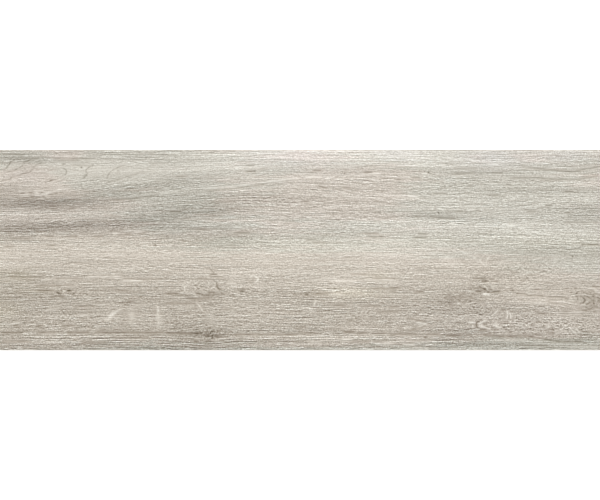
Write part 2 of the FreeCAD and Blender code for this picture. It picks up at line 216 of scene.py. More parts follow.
    (-15, 0.65, [(207.4, 329.6), (207.6, 331.2), (206.6, 332.6), (206.4, 334)]), (-15, 0.65, [(217.2, 330), (217.6, 332), (217.2, 333)]), (-20, 0.7, [(192.4, 341.5), (199.2, 341.5)]), (-13, 0.65, [(206.4, 324.6), (206.6, 326.6)]),
    (-16, 0.65, [(223.4, 342.4), (230.4, 342.5)]), (-18, 0.65, [(227, 345.5), (231.4, 345.5)]), (14, 0.65, [(221, 343.4), (226, 343.6), (231.4, 344.3)]),
    (17, 0.7, [(195.4, 302.3), (199, 305.5), (203.2, 311), (207.8, 315.4)]), (-20, 0.7, [(232, 334.6), (262, 334.5), (300, 334.3)]),
    # lower middle
    (22, 0.9, [(249, 279), (251, 276.6), (253.3, 275), (256, 277), (258.4, 279.2), (256, 281.6), (254.2, 283.4)]), (-12, 0.8, [(250.5, 274), (252.5, 272.3)]), (14, 0.8, [(226, 283.6), (236, 283.5)]),
    (-24, 0.7, [(314, 293.5), (331, 293.2)]), (17, 0.8, [(328.7, 294.9), (345, 294.7)]), (-14, 0.6, [(370, 288.7), (388, 288.4)]), (-19, 0.7, [(389, 288), (400, 287.8)]), (-16, 0.6, [(389, 291.3), (397, 291.3)]),
    (-17, 0.65, [(413, 291.9), (426, 291.8)]), (15, 0.7, [(333, 281), (356, 280.8)]), (12, 0.65, [(318, 278.6), (340, 278.4)]),
    (-18, 0.6, [(330.6, 305.3), (347, 305.3)]), (-16, 0.6, [(357.7, 306.3), (381, 306.3)]), (-16, 0.6, [(387, 306.6), (400, 306.9)]), (-14, 0.6, [(375, 311.4), (400, 312)]),
    (-22, 0.7, [(348.5, 321.2), (353, 321.2)]), (-24, 0.85, [(342, 331.9), (356, 332)]), (-26, 0.75, [(355, 333.2), (369, 333.1)]), (-22, 0.75, [(371, 333.8), (388, 333.6)]), (-19, 0.7, [(388, 334.3), (403, 334), (419, 334.3)]), (-18, 0.65, [(424, 334.6), (442, 334.2)]), (-20, 0.6, [(337, 337.8), (342, 337.5)]), (-18, 1.0, [(300, 333), (316, 333)]),
    (26, 0.8, [(373, 343.4), (396, 343.3)]), (22, 0.65, [(401, 344.6), (416, 344.8)]), (20, 0.65, [(341, 339.6), (353, 339.4)]), (18, 0.6, [(306.4, 342), (323, 342)]), (-20, 0.6, [(373, 342.1), (385, 342.1)]), (-16, 0.65, [(348, 341.6), (372, 341.4)]), (14, 0.6, [(404, 341.6), (432, 341.5)]),
    (-14, 0.8, [(405, 318), (416, 320), (425, 322), (430, 323.6)]), (-16, 0.8, [(406, 331), (416, 328.6), (425, 326), (430, 323.8)]), (20, 0.8, [(415.4, 321), (421, 323), (428.4, 324.2)]), (18, 0.8, [(415, 328.2), (421, 326.2), (428, 324.6)]),
    (-18, 0.8, [(447, 335.4), (463, 335.6)]),
    (-24, 0.65, [(363, 233.1), (372, 233.4), (381, 233.3)]), (-26, 0.65, [(367, 236.5), (385, 236.5)]), (-24, 0.65, [(411, 237.5), (429, 237.5)]), (-20, 0.65, [(417, 233.6), (429, 234.3)]), (-18, 0.65, [(306, 239.8), (317, 239.8)]),
    (-18, 0.65, [(310.6, 242.6), (327, 242.6)]), (-19, 0.65, [(349, 274.4), (367, 274.4)]), (-18, 0.65, [(371, 278.6), (395, 278.6)]), (19, 0.65, [(363, 280.1), (396, 280)]), (-24, 0.65, [(233.4, 232.8), (251, 232.8)]), (-19, 0.65, [(192, 229.3), (208.4, 229.3)]), (18, 0.65, [(233, 227.5), (243, 227.5)]),
    # rings, lower right of centre
    (-25, 0.8, [(480.4, 321.3), (477.6, 321.7), (476.5, 323), (476.3, 325), (477.2, 327.6)]), (22, 1.0, [(487, 319.7), (483, 321.6), (480.5, 323), (478.2, 324.6)]),
    (23, 0.85, [(479.4, 327.3), (485, 327.2), (487.5, 328.3), (490.6, 328.6)]), (-20, 0.7, [(479, 329.5), (487, 329.5)]), (-14, 0.65, [(490.4, 329.4), (498.4, 329.4)]),
    (-20, 0.7, [(485.4, 325.9), (487.4, 326.8), (489.8, 327.9)]), (20, 0.85, [(495, 325.8), (498.5, 327), (502.6, 327.9)]), (-14, 0.8, [(482.4, 323.4), (484.6, 324.8), (487, 322.6)]), (28, 0.75, [(467, 322.4), (475.6, 322.5)]),
    (20, 0.8, [(493.4, 314.4), (499, 309.8)]), (23, 0.85, [(506.6, 311), (507.8, 315), (506.4, 319.4)]), (21, 0.75, [(509.4, 312), (510.7, 316), (510.4, 319.8)]), (-17, 0.6, [(508.9, 314.4), (508.9, 318.6)]),
    (-15, 0.65, [(502, 321.4), (509.4, 321.4)]), (13, 0.6, [(502, 320.3), (508.4, 320.3)]), (-16, 0.6, [(500.8, 309.5), (505.4, 309.5)]), (-16, 0.65, [(507.6, 332.4), (512.6, 332.4)]),
    # branch mark, lower right
    (-23, 0.65, [(481.4, 281.5), (489.4, 281.4)]), (-24, 0.65, [(490.4, 281.4), (498.4, 281.4)]), (17, 0.6, [(486, 282.5), (489.4, 282.5)]), (17, 0.6, [(490.8, 282.5), (496.4, 282.5)]), (-24, 0.6, [(488.4, 279.4), (495, 279.4)]), (-18, 0.6, [(474, 278.4), (479, 278.4)]), (15, 0.6, [(489, 280.4), (496, 280.4)]),
    (-26, 0.8, [(478.4, 285.8), (481.5, 287.4), (484, 288.6), (486, 289.8), (486.8, 291), (488.4, 292.5), (491.4, 292.7)]), (-26, 0.75, [(491.6, 292.3), (494, 291.8), (497, 291.4), (501.4, 291.3)]),
    (19, 0.75, [(482.8, 285.8), (486, 287.6), (488.2, 290.6)]), (36, 1.1, [(482.2, 294.1), (490.4, 294.1)]), (-23, 0.75, [(475, 291.3), (482, 291.3)]), (-18, 0.65, [(473.4, 288.4), (478.6, 288.5)]), (18, 0.6, [(474.4, 289.4), (477.6, 289.4)]),
    (24, 0.7, [(504.4, 287.4), (510.4, 287.4)]), (-17, 0.6, [(506.6, 288.5), (513.4, 288.4)]), (-30, 0.8, [(510.6, 290.6), (514.6, 290.6)]), (18, 0.6, [(490.4, 286.4), (496, 286.4)]), (17, 0.6, [(490.4, 288.4), (495, 288.4)]), (-14, 0.6, [(452, 297.4), (476, 297.3)]),
    # lower right
    (-22, 0.7, [(515.5, 293.4), (521, 293.8), (528, 294.7)]), (-20, 0.7, [(526, 295.6), (536, 295.6), (546, 296.2)]), (-19, 0.7, [(545, 297), (555, 296.8), (566, 297)]), (-13, 0.7, [(545, 300.6), (556, 300.2), (566, 298.4)]), (-17, 0.6, [(531.3, 289.5), (544.6, 289.5)]),
    (12, 0.7, [(527, 288), (546, 287.8)]), (12, 0.7, [(526, 302.4), (548, 303)]),
    (22, 0.7, [(558, 312.5), (568, 312.5), (584.6, 312.4)]), (-17, 0.6, [(557, 313.6), (584.4, 313.5)]), (15, 0.6, [(556, 314.6), (582, 314.6)]), (-18, 0.6, [(536.4, 313.5), (546, 313.9)]),
    (-25, 0.75, [(482, 334.6), (498, 336.2), (512, 336.2), (524, 336), (538, 337.8), (550, 340.3), (562, 341.6), (584, 341.5)]), (14, 0.7, [(505, 340.2), (530, 340.8)]),
    (13, 0.65, [(530, 343.4), (566, 344)]), (-15, 0.6, [(520, 345.6), (550, 345.8)]), (14, 0.65, [(566, 347.2), (598, 347)]),
    # knot at the right end: nested arches
    (-15, 0.65, [(576.4, 293.3), (578.2, 292), (580.4, 291.1)]), (-16, 0.7, [(575.8, 295.3), (576.3, 296.2), (577.2, 297)]), (-22, 0.6, [(577.5, 297.6), (577.8, 299), (577.3, 300.6)]), (-9, 0.6, [(577, 301), (575.6, 302.2)]),
    (-9, 0.6, [(580.2, 295.4), (582, 296.8)]), (-27, 0.65, [(581.8, 296.8), (583.2, 298.2), (585.8, 300.3)]), (-27, 0.7, [(585.8, 299.8), (584.3, 301.3), (583.3, 302.7), (581, 303.6)]), (16, 0.65, [(580.6, 304.6), (585.6, 304.5)]), (7, 0.6, [(578, 296.3), (580, 296.2)]), (11, 0.6, [(575.4, 303), (580.2, 302.6)]), (-8, 0.6, [(575.6, 302.8), (576.8, 301.6)]),
    (-17, 0.6, [(584, 295), (586.4, 296.3), (588.8, 297.6), (590.8, 299)]), (-12, 0.6, [(586.6, 295.6), (588.4, 297)]), (-19, 0.65, [(591.2, 301.8), (588.8, 303.3), (585.4, 305.1)]), (-21, 0.65, [(592.8, 302.6), (595, 304.8)]),
    (-9, 0.6, [(583, 292.4), (587, 293.6), (591.6, 295.2)]), (-26, 0.7, [(591.6, 295.8), (593.6, 296.4), (595.6, 296.7)]), (-23, 0.65, [(596.2, 297), (598.2, 297.7), (601, 299.4)]), (-8, 0.6, [(597, 294), (601, 295.6)]),
    (-13, 0.75, [(594.6, 306.2), (592.4, 307.8), (590.2, 309.2), (586.8, 309.6)]), (-13, 0.65, [(592.6, 305.2), (589.4, 306.4)]), (-15, 0.6, [(581, 310.6), (587.8, 310.5)]), (-14, 0.6, [(592.6, 311.5), (596, 311.5)]),
    (-14, 0.6, [(593, 293.5), (597.6, 293.4)]), (9, 0.6, [(586, 293.4), (590, 294)]), (-14, 0.6, [(589.6, 290.5), (594, 290.5)]), (-13, 0.6, [(588, 292.4), (591.4, 292.4)]), (15, 0.6, [(594.4, 292.4), (601, 292.3)]), (15, 0.65, [(594.4, 290.4), (599, 290.4)]), (15, 0.6, [(594.6, 309.5), (599, 309.4)]),
    (-22, 0.65, [(569.8, 292.4), (573.4, 292.4)]), (-22, 0.65, [(573.2, 288.5), (577.6, 288.5)]), (-19, 0.6, [(564.6, 288.5), (569.2, 288.5)]), (-20, 0.6, [(564.6, 298.5), (568.8, 298.5)]), (-22, 0.7, [(591.4, 286.6), (601, 286.6)]),
    (11, 0.6, [(583, 293.8), (586, 295), (589, 296.4)]), (13, 0.65, [(585.8, 302.4), (588.4, 301.6)]), (11, 0.6, [(594.6, 299), (597, 300.4), (595.4, 302)]),
    (15, 0.65, [(588, 288.5), (595.6, 288.4)]), (17, 0.65, [(595, 285.3), (601, 285.3)]), (-16, 0.6, [(561, 311.6), (573.4, 311.6)]), (-10, 0.6, [(577, 308.5), (581.4, 308.5)]), (15, 0.65, [(568.8, 300.5), (571.4, 300.4)]), (14, 0.6, [(569.4, 298.4), (573, 298.4)]),
    # pale ray flecks and curls
    (13, 0.7, [(117, 309.6), (122.4, 309.2)]), (13, 0.7, [(113.6, 311.6), (119.6, 311.2)]), (15, 0.75, [(110.4, 313.6), (116.4, 313.2)]), (15, 0.8, [(108.2, 315.5), (115, 315.3)]), (14, 0.75, [(107, 317.6), (113, 317.4)]), (12, 0.7, [(104, 319.6), (110, 319.4)]), (12, 0.8, [(157.5, 306), (158.6, 312)]),
    (19, 0.75, [(184.6, 291.6), (184.5, 289), (184.3, 286.4)]), (14, 0.75, [(185.6, 281), (187.6, 282.4), (189.6, 284.4)]), (16, 0.75, [(193.8, 286), (194.6, 287.4), (195.6, 288.6)]),
    (18, 0.9, [(317, 299.5), (315.5, 302), (313, 307)]), (13, 0.8, [(311, 301), (314, 300)]), (20, 0.7, [(360.6, 313.6), (362, 311.6), (364.4, 310.4)]), (20, 0.7, [(364.8, 314), (366.4, 311.6), (368.4, 309.8)]), (18, 0.7, [(369, 313.6), (371, 311)]), (-18, 0.6, [(362.6, 314), (365, 311.4)]), (-18, 0.6, [(367, 313.8), (369.4, 311)]),
    (9, 1.2, [(456.5, 249.8), (462, 252), (467, 254), (471.5, 256), (475, 259), (479.5, 263)]), (13, 0.8, [(486, 266), (487, 260), (490, 255.6)]),
    (12, 0.75, [(479, 259), (482, 263.5), (485, 265)]), (11, 0.8, [(491.5, 266), (493.6, 268), (496.5, 266.4), (501, 263), (506, 260.6), (512, 259.2), (518, 258.4)]), (10, 0.75, [(552, 261), (559, 258.8)]), (14, 0.8, [(569, 327), (573, 331), (577, 335)]), (13, 0.8, [(573.5, 326), (577.5, 330), (580.5, 334)]),
    (12, 0.8, [(566, 331), (569, 334.5)]), (12, 0.75, [(512, 270), (516, 266), (522, 264.5)]), (12, 0.75, [(522, 276), (527, 272), (533, 271.4)]),
    (11, 0.75, [(531, 261.2), (536, 259.3), (542, 257.6)]), (12, 0.75, [(546, 329), (549, 325.6), (552, 329.6)]), (-12, 0.75, [(548, 332), (551, 327.4), (554.5, 331.4)]),
]

# Pin dots: column, row, half length, half height, level
SPOTS = [
    (81.4, 167.4, 0.6, 0.55, -50), (28.3, 199.3, 1.0, 0.7, -16), (41.6, 192.5, 0.8, 0.6, -15), (51.3, 180.4, 1.0, 0.6, -22), (344.5, 173.5, 0.55, 0.5, -40), (428.5, 172.4, 0.6, 0.5, -60), (419.5, 170.4, 0.5, 0.5, -30), (438.5, 213, 0.6, 0.6, -40),
    (572.4, 256.4, 0.6, 0.55, -40), (254.6, 171.4, 0.7, 0.6, -32), (128.4, 254.6, 0.8, 1.0, -20), (155.5, 245.7, 0.8, 1.2, -18),
    (307, 294.3, 1.3, 1.1, -26), (312.7, 290.3, 1.2, 0.9, -16), (212.6, 337.3, 0.8, 0.7, -24), (391, 322.5, 1.6, 0.7, -18), (596.5, 306.5, 1.1, 0.7, -22), (598.5, 300.5, 0.8, 0.5, -17), (599.6, 302.5, 1.2, 0.5, -18), (586.5, 307.5, 0.9, 0.5, -14), (582.4, 290.5, 1.0, 0.5, -16), (582.4, 292.4, 0.9, 0.5, -11), (593.6, 303.4, 0.8, 0.6, -12), (592.9, 300.4, 1.2, 1.1, -20), (576.4, 293.5, 0.9, 0.7, -26), (485.5, 281.4, 0.8, 0.7, -16), (473, 286.5, 1.0, 0.5, -14), (490.6, 289.5, 1.4, 0.6, -20), (497.5, 284.5, 0.9, 0.5, -14), (517, 293.5, 1.0, 0.5, -14), (516, 329.5, 1.0, 0.6, -18), (504.5, 327.4, 0.9, 0.6, -15), (488.2, 292.3, 1.0, 0.7, -12), (477, 327.4, 0.8, 0.7, -12),
    (73, 294.2, 0.9, 0.8, -18), (242.3, 290.2, 1.4, 1.1, -14), (425.3, 337.2, 1.2, 0.9, -14), (118.5, 171, 0.8, 0.7, -14), (128.5, 177.6, 0.8, 0.8, -14), (85.5, 175.2, 0.9, 0.8, -16), (92.5, 165.6, 0.9, 0.7, -16),
]

# The grain is a sum of pore lines, each cut into dashes of its own length.
# Dash length in mm, lean through the noise, offset
LAYERS = [
    (0.0, 0.55, (3.1, 7.7, 1.3)),  # not cut
    (40.0, 0.80, (9.2, 2.1, 5.5)),
    (14.0, 0.65, (1.7, 8.3, 2.9)),
    (5.5, 0.90, (4.4, 3.3, 7.1)),
]
PORE_RUN = 150.0  # mm over which a pore line keeps to its row
PORE_ROWS = 1.3  # mm
DASH_EDGE = 12.0  # how sharply a dash begins and ends
CURL = (6.0, 4.2, 0.75, (1.0, 5.2, 4.2))  # worm-like ridges of the rough places

COLOUR_DEPTH = 25.8  # levels of print tone for one unit of grain
EMBOSS_PAINT_SHARE, EMBOSS_PAINT_STEP = 2.2, 1.1  # share and offset in mm of the painted highlight and painted shade along each pore: pale on one side and dark on the other, as its relief would look under the key light from +Y
STIPPLE = 56.0  # levels of the print's own dots
RELIEF_DEPTH = 0.30  # mm of fine relief for one unit of grain
MARK_GAIN = 1.6
NEUTRAL = (0.092, 0.09, 0.04)  # red lost, red lost again in the darkest, and blue gained, for each level of detail


# ---------------------------------------------------------------------------
# Gradient noise, the same as the shader's, so that the mesh's relief and the
# print agree
# ---------------------------------------------------------------------------
U32 = np.uint32


def _rot(x, k):
    return (x << U32(k)) | (x >> U32(32 - k))


def _hash(kx, ky, kz):
    with np.errstate(over="ignore"):
        s = U32(0xDEADBEEF) + U32(3 << 2) + U32(13)
        a, b, c = kx + s, ky + s, kz + s
        c = (c ^ b) - _rot(b, 14)
        a = (a ^ c) - _rot(c, 11)
        b = (b ^ a) - _rot(a, 25)
        c = (c ^ b) - _rot(b, 16)
        a = (a ^ c) - _rot(c, 4)
        b = (b ^ a) - _rot(a, 14)
        c = (c ^ b) - _rot(b, 24)
    return c


def _grad(h, x, y, z):
    h = h & U32(15)
    u = np.where(h < 8, x, y)
    v = np.where(h < 4, y, np.where((h == 12) | (h == 14), x, z))
    return np.where(h & U32(1), -u, u) + np.where(h & U32(2), -v, v)


def perlin(x, y, z):
    x, y, z = np.broadcast_arrays(*[np.asarray(q, dtype=np.float64) for q in (x, y, z)])
    X, Y, Z = np.floor(x), np.floor(y), np.floor(z)
    fx, fy, fz = x - X, y - Y, z - Z
    Xi, Yi, Zi = [q.astype(np.int64).astype(np.uint32) for q in (X, Y, Z)]
    u, v, w = [t * t * t * (t * (t * 6.0 - 15.0) + 10.0) for t in (fx, fy, fz)]
    c = []
    for dz in (0, 1):
        for dy in (0, 1):
            a = _grad(_hash(Xi, Yi + U32(dy), Zi + U32(dz)), fx, fy - dy, fz - dz)
            b = _grad(_hash(Xi + U32(1), Yi + U32(dy), Zi + U32(dz)), fx - 1, fy - dy, fz - dz)
            c.append(a + (b - a) * u)
    c0 = c[0] + (c[1] - c[0]) * v
    c1 = c[2] + (c[3] - c[2]) * v
    return 0.982 * (c0 + (c1 - c0) * w)


def smooth(e0, e1, x):
    t = np.clip((x - e0) / (e1 - e0), 0, 1)
    return t * t * (3 - 2 * t)


def patch(X, Y, cx, cy, rx, ry, slope=0.0):
    return np.exp(-0.5 * (((X - cx) / rx) ** 2 + ((Y - cy - slope * (X - cx)) / ry) ** 2))


def patches(X, Y, table):
    out = np.zeros_like(X)
    for cx, cy, rx, ry, slope, a in table:
        out += a * patch(X, Y, cx, cy, rx, ry, slope)
    return out


def curve_through(points, n=6):
    P = [np.array(p, float) for p in points]
    if len(P) < 3:
        return np.array(P)
    Q = [2 * P[0] - P[1]] + P + [2 * P[-1] - P[-2]]
    out = []
    for i in range(1, len(Q) - 2):
        a, b, c, d = Q[i - 1 : i + 3]
        for k in range(n):
            t = k / n
            out.append(0.5 * (2 * b + (c - a) * t + (2 * a - 5 * b + 4 * c - d) * t * t + (3 * b - a - 3 * c + d) * t**3))
    out.append(P[-1])
    return np.array(out)


def line_field(points, X, Y):
    """Signed distance to a line, place along it from 0 to 1, and its length."""
    Q = curve_through(points)
    seg = Q[1:] - Q[:-1]
    ln = np.hypot(seg[:, 0], seg[:, 1])
    cum = np.r_[0, np.cumsum(ln)]
    best = np.full(X.shape, 1e9)
    t_at = np.zeros(X.shape)
    side = np.ones(X.shape)
    for i, (p, s, l) in enumerate(zip(Q[:-1], seg, ln)):
        if l == 0:
            continue
        dx, dy = X - p[0], Y - p[1]
        t = np.clip((dx * s[0] + dy * s[1]) / l**2, 0, 1)
        d = np.hypot(dx - t * s[0], dy - t * s[1])
        m = d < best
        best = np.where(m, d, best)
        t_at = np.where(m, (cum[i] + t * l) / cum[-1], t_at)
        side = np.where(m, np.sign(s[0] * dy - s[1] * dx), side)
    return best * np.where(side == 0, 1, side), t_at, cum[-1]


def print_fields(x, y):
    """Everything that the print and its relief need at points x, y in mm."""
    X, Y = col(x), row(y)
    xs = X + 9.0 * perlin(X / 70, Y / 9, 4.4)
    ys = Y + 1.6 * perlin(X / 55, Y / 9, 9.1) + 0.8 * perlin(X / 18, Y / 4, 2.2)
    f = {}
    prof = np.array(PROFILE, float)
    tone = np.interp(ys, prof[:, 0], prof[:, 1]) + 1.03 * patches(xs, ys, TONE) + patches(X, Y, BLOTCHES)
    streaks = 0.5 * perlin(X / 60, Y / 4.0, 6.6) + 0.3 * perlin(X / 24, Y / 2.0, 1.2)
    cool = smooth(0.12, 0.82, patches(xs, ys, COOL) + streaks)
    cream = 11.5 + 0.35 * patch(0 * ys, ys, 0, 188, 1, 14) + 1.9 * smooth(225, 245, ys) + patches(xs, ys, CREAM)
    rough = np.clip(patches(X, Y, ROUGH), 0, 1)
    long_ = np.clip(patches(X, Y, LONG), 0, 1)
    calm = patches(X, Y, CALM)
    con = np.interp(Y, [150, 175, 195, 240, 258, 275, 310, 330, 350], [0.93, 0.92, 0.98, 1.02, 0.86, 1.02, 1.10, 1.2, 1.3]) * (1 - calm)

    bend = np.zeros_like(X)
    for cx, cy, rx, ry, s in SHEAR:
        bend += s * (X - cx) * patch(X, Y, cx, cy, rx, ry)
    for cx, cy, rx, ry, k in LENS:
        bend -= k * (Y - cy) * patch(X, Y, cx, cy, rx, ry)
    u = x + 4 * perlin(x / 60, y / 20, 8.2)
    v = (250.0 - (Y + bend)) * MM + 2.2 * perlin(x / 150, y / 45, 0.3) + 0.6 * perlin(x / 40 + 7, y / 14, 1.7) + 0.15 * perlin(x / 14 + 3, y / 6, 5.7)
    med = 8 * perlin(u / 120 + 2.2, v / 5.2, 3.3) + 10 * perlin(u / 260 + 5.1, v / 11, 6.3)

    # drawn lines, sorted into layers so that no two lines in a layer are close
    layers = []
    hush = np.zeros_like(X)
    for a, w, pts in MARKS:
        P = np.array(pts)
        (x0, y0), (x1, y1) = P.min(0) - 6, P.max(0) + 6
        near = np.where((X >= x0) & (X <= x1) & (Y >= y0) & (Y <= y1))[0]
        # the pore rows that a line crosses shift it to and fro and break it up
        Xn, Yn = X[near], Y[near]
        run, rise = np.abs(P[-1] - P[0])
        shift = (0.8 + 3.2 * min(1.0, run / (rise + 0.1) / 2.5)) * (0.2 + 0.8 * smooth(7.0, 20.0, run + rise))
        d, t, ln = line_field(pts, Xn + shift * perlin(Xn / 14 + a, Yn / 1.25, 5.1), Yn)
        ok = np.abs(d) < 5.0
        near, d, t = near[ok], d[ok], t[ok]
        end = min(0.3, (1.2 if ln < 12 else 2.5) / ln)
        taper = smooth(0, end, t) * smooth(0, end, 1 - t)
        broken = 0.95 + 0.7 * perlin(t * ln / 3.5 + a, a * 1.3, 0.5) + 0.5 * perlin(t * ln / 1.7, a * 2.1, 4.5)
        broken = np.clip(broken + 1.1 * perlin(Xn[ok] / 7 + a, Yn[ok] / 1.25, 3.3), 0.5, 1.6)
        broken = 1.05 + (broken - 1.05) * smooth(4, 18, ln)
        s = MARK_GAIN * a * (1.25 - 0.25 * smooth(9, 24, ln)) * taper * broken * (1 - smooth(2.6, 4.4, np.abs(d)))
        hush[near] = np.maximum(hush[near], min(0.85, 0.042 * abs(a)) * taper * np.exp(-((d / 1.6) ** 2)))
        for lay in layers:
            if not lay["used"][near].any():
                break
        else:
            lay = {"used": np.zeros(len(X), bool), "dws": np.tile([9.0, 0.7, 0.0], (len(X), 1))}
            layers.append(lay)
        lay["used"][near] = True
        lay["dws"][near] = np.stack([d, np.full(len(near), w), s], -1)
    f["marks"] = [lay["dws"] for lay in layers]

    # the grain is quieter beside a drawn line and in a fleck
    for cx, cy, rx, ry, slope, a in FLECKS:
        hush = np.maximum(hush, 0.7 * min(1.0, abs(a) / 14.0) * patch(X, Y, cx, cy, rx, ry, slope))
    f["grain"] = np.stack([u, v, v], -1)
    keep = con * (1 - 0.6 * rough) * (1 - hush)
    f["amp_a"] = np.stack([keep * np.sqrt(0.06 + 0.26 * long_), keep * np.sqrt(0.26 + 0.1 * long_), keep * np.sqrt(0.32 - 0.14 * long_)], -1)
    f["amp_b"] = np.stack([keep * np.sqrt(0.30 - 0.2 * long_), con * 0.95 * rough * (1 - hush), con * (1 - hush)], -1)
    f["tone"] = np.stack([tone + med, 8.8 - 4.6 * cool, cream], -1)

    # spots likewise
    layers = []
    for cx, cy, rx, ry, slope, a in [(cx, cy, rx, ry, 0.0, MARK_GAIN * a) for cx, cy, rx, ry, a in SPOTS] + FLECKS:
        dx, dy = (X - cx) / rx, (Y - cy - slope * (X - cx)) / ry
        r = np.hypot(dx, dy)
        reach = 3.0 + 2.5 / min(rx, ry)
        near = np.where(r < reach)[0]
        for lay in layers:
            if not lay["used"][near].any():
                break
        else:
            lay = {"used": np.zeros(len(X), bool), "dds": np.tile([9.0, 9.0, 0.0], (len(X), 1))}
            layers.append(lay)
        lay["used"][near] = True
        lay["dds"][near] = np.stack([dx, dy, a * (1 - smooth(0.7, 1.0, r / reach))], -1)[near]
    f["spots"] = [lay["dds"] for lay in layers]

    # relief that the mesh itself carries, mm below the highest grain
    coarse = 0.9 * perlin(u / 55 + 4.7, v / 3.6 * 0.8, v / 3.6 * 0.6) + 0.6 * perlin(u / 18 + 2.9, v / 3.2 * 0.7, v / 3.2 * 0.7) + med / 14.0
    relief = 0.17 + 0.11 * np.clip(coarse, -1.5, 1.5)
    for dws in f["marks"]:
        groove = dws[:, 2] / 25.0 * np.exp(-((dws[:, 0] / (dws[:, 1] + 0.35)) ** 2))
        relief = relief - 0.10 * np.clip(groove, -1.2, 0.6)
    f["relief"] = np.clip(relief, 0.0, 0.5)
    return f


# ---------------------------------------------------------------------------
# Mesh: one closed skin, with the wear face as a fine grid
# ---------------------------------------------------------------------------
hx, hy = LENGTH / 2.0, WIDTH / 2.0


def grid_columns():
    """Columns closer together where the drawn figure is finest."""
    xs = np.concatenate(
        [
            np.linspace(0, 60, 42, endpoint=False),
            np.linspace(60, 130, 34, endpoint=False),
            np.linspace(130, 195, 22, endpoint=False),
            np.linspace(195, 222, 14, endpoint=False),
            np.linspace(222, 470, 78, endpoint=False),
            np.linspace(470, 515, 30, endpoint=False),
            np.linspace(515, 565, 26, endpoint=False),
            np.linspace(565, 600, 33),
        ]
    )
    return (xs - 300.0) / 300.0 * (hx - BEVEL)


NY = 260
gx = grid_columns()
NX = len(gx) - 1
gy = np.linspace(-(hy - BEVEL), hy - BEVEL, NY + 1)
GX, GY = np.meshgrid(gx, gy)
top_x, top_y = GX.ravel(), GY.ravel()
F = print_fields(top_x, top_y)
top = np.stack([top_x, top_y, THICK - F["relief"]], -1)

verts = [top]
n_verts = len(top)
faces = []
face_mat = []
face_kind = []  # 0 wear face, 1 to 4 edges, 5 back


def add_faces(new, mat, kind):
    faces.extend(new)
    face_mat.extend([mat] * len(new))
    face_kind.extend([kind] * len(new) if isinstance(kind, int) else kind)


j, i = np.meshgrid(np.arange(NY), np.arange(NX), indexing="ij")
a = (j * (NX + 1) + i).ravel()
add_faces(np.stack([a, a + 1, a + NX + 2, a + NX + 1], -1).tolist(), 0, 0)

# perimeter, anticlockwise from above
W1 = NX + 1
loop = np.concatenate(
    [
        np.arange(0, NX),
        np.arange(NY) * W1 + NX,
        NY * W1 + np.arange(NX, 0, -1),
        np.arange(NY, 0, -1) * W1,
    ]
)
loop_kind = [1] * NX + [2] * NY + [3] * NX + [4] * NY
base = top[loop][:, :2] / np.array([hx - BEVEL, hy - BEVEL])
prev = loop
for inset, z, mat in (
    (0.16, THICK - BEVEL + 0.14, 1),
    (0.0, THICK - BEVEL - 0.16, 1),
    (0.0, 5.0, 1),
    (0.0, BACK_BREAK + 0.12, 1),
    (0.12, 0.12, 1),
    (BACK_BREAK, 0.0, 2),
):
    ring = np.column_stack([base * np.array([hx - inset, hy - inset]), np.full(len(loop), z)])
    ids = n_verts + np.arange(len(loop))
    verts.append(ring)
    n_verts += len(ring)
    nxt_p, nxt_i = np.roll(prev, -1), np.roll(ids, -1)
    add_faces(np.stack([ids, nxt_i, nxt_p, prev], -1).tolist(), mat, loop_kind)
    prev = ids
outer_ids = prev
outer_xy = ring[:, :2]

# pockets of the back, with rounded corners and eased ribs
MOUTH = (RIB_PITCH - RIB_CREST) / 2.0
CORNER = 3.0


def pocket_ring(cx, cy, half, z, r):
    pts = []
    for k, (sx, sy) in enumerate(((1, 1), (-1, 1), (-1, -1), (1, -1))):
        for t in range(3):
            ang = math.radians(90 * k + 45 * t)
            pts.append((cx + sx * (half - r) + r * math.cos(ang), cy + sy * (half - r) + r * math.sin(ang), z))
    return np.array(pts)


mouth_ids = []
mouth_xy = []
for ix in range(POCKETS_X):
    for iy in range(POCKETS_Y):
        cx = (ix + 0.5 - POCKETS_X / 2.0) * RIB_PITCH
        cy = (iy + 0.5 - POCKETS_Y / 2.0) * RIB_PITCH
        rings = []
        for half, z, r in (
            (MOUTH, 0.0, CORNER),
            (MOUTH - 0.22, 0.10, CORNER - 0.1),
            (MOUTH - RIB_FLANK + 0.05, RIB_HEIGHT - 0.16, CORNER - 0.4),
            (MOUTH - RIB_FLANK - 0.35, RIB_HEIGHT, CORNER - 0.6),
        ):
            verts.append(pocket_ring(cx, cy, half, z, r))
            rings.append(n_verts + np.arange(12))
            n_verts += 12
        mouth_ids.append(rings[0])
        mouth_xy.append(verts[-4][:, :2])
        for lo_r, hi_r in zip(rings[:-1], rings[1:]):
            # seen from below the skin faces down and into the pocket
            add_faces(np.stack([lo_r, hi_r, np.roll(hi_r, -1), np.roll(lo_r, -1)], -1).tolist(), 2, 5)
        add_faces([rings[-1][::-1].tolist()], 2, 5)

# the plain of the back between the rim and the pockets
ids = np.concatenate([outer_ids] + mouth_ids)
pts = np.concatenate([outer_xy] + mouth_xy)
edges = []
start = 0
for n in [len(outer_ids)] + [12] * len(mouth_ids):
    edges += [(start + k, start + (k + 1) % n) for k in range(n)]
    start += n
tri_v, _, tri_f, orig_v, _, _ = delaunay_2d_cdt([Vector(p) for p in pts], edges, [], 0, 1e-6, True)
assert len(tri_v) == len(pts), "the back's triangulation added points"
back = np.array([[orig_v[k][0] for k in f] for f in tri_f])
mid = pts[back].mean(1)
cell = np.abs(((mid / RIB_PITCH + np.array([POCKETS_X, POCKETS_Y]) / 2.0) % 1.0) - 0.5) * RIB_PITCH
inside_grid = (np.abs(mid[:, 0]) < POCKETS_X * RIB_PITCH / 2) & (np.abs(mid[:, 1]) < POCKETS_Y * RIB_PITCH / 2)
corner_out = (np.maximum(cell[:, 0] - (MOUTH - CORNER), 0) ** 2 + np.maximum(cell[:, 1] - (MOUTH - CORNER), 0) ** 2) > CORNER**2 * 0.93
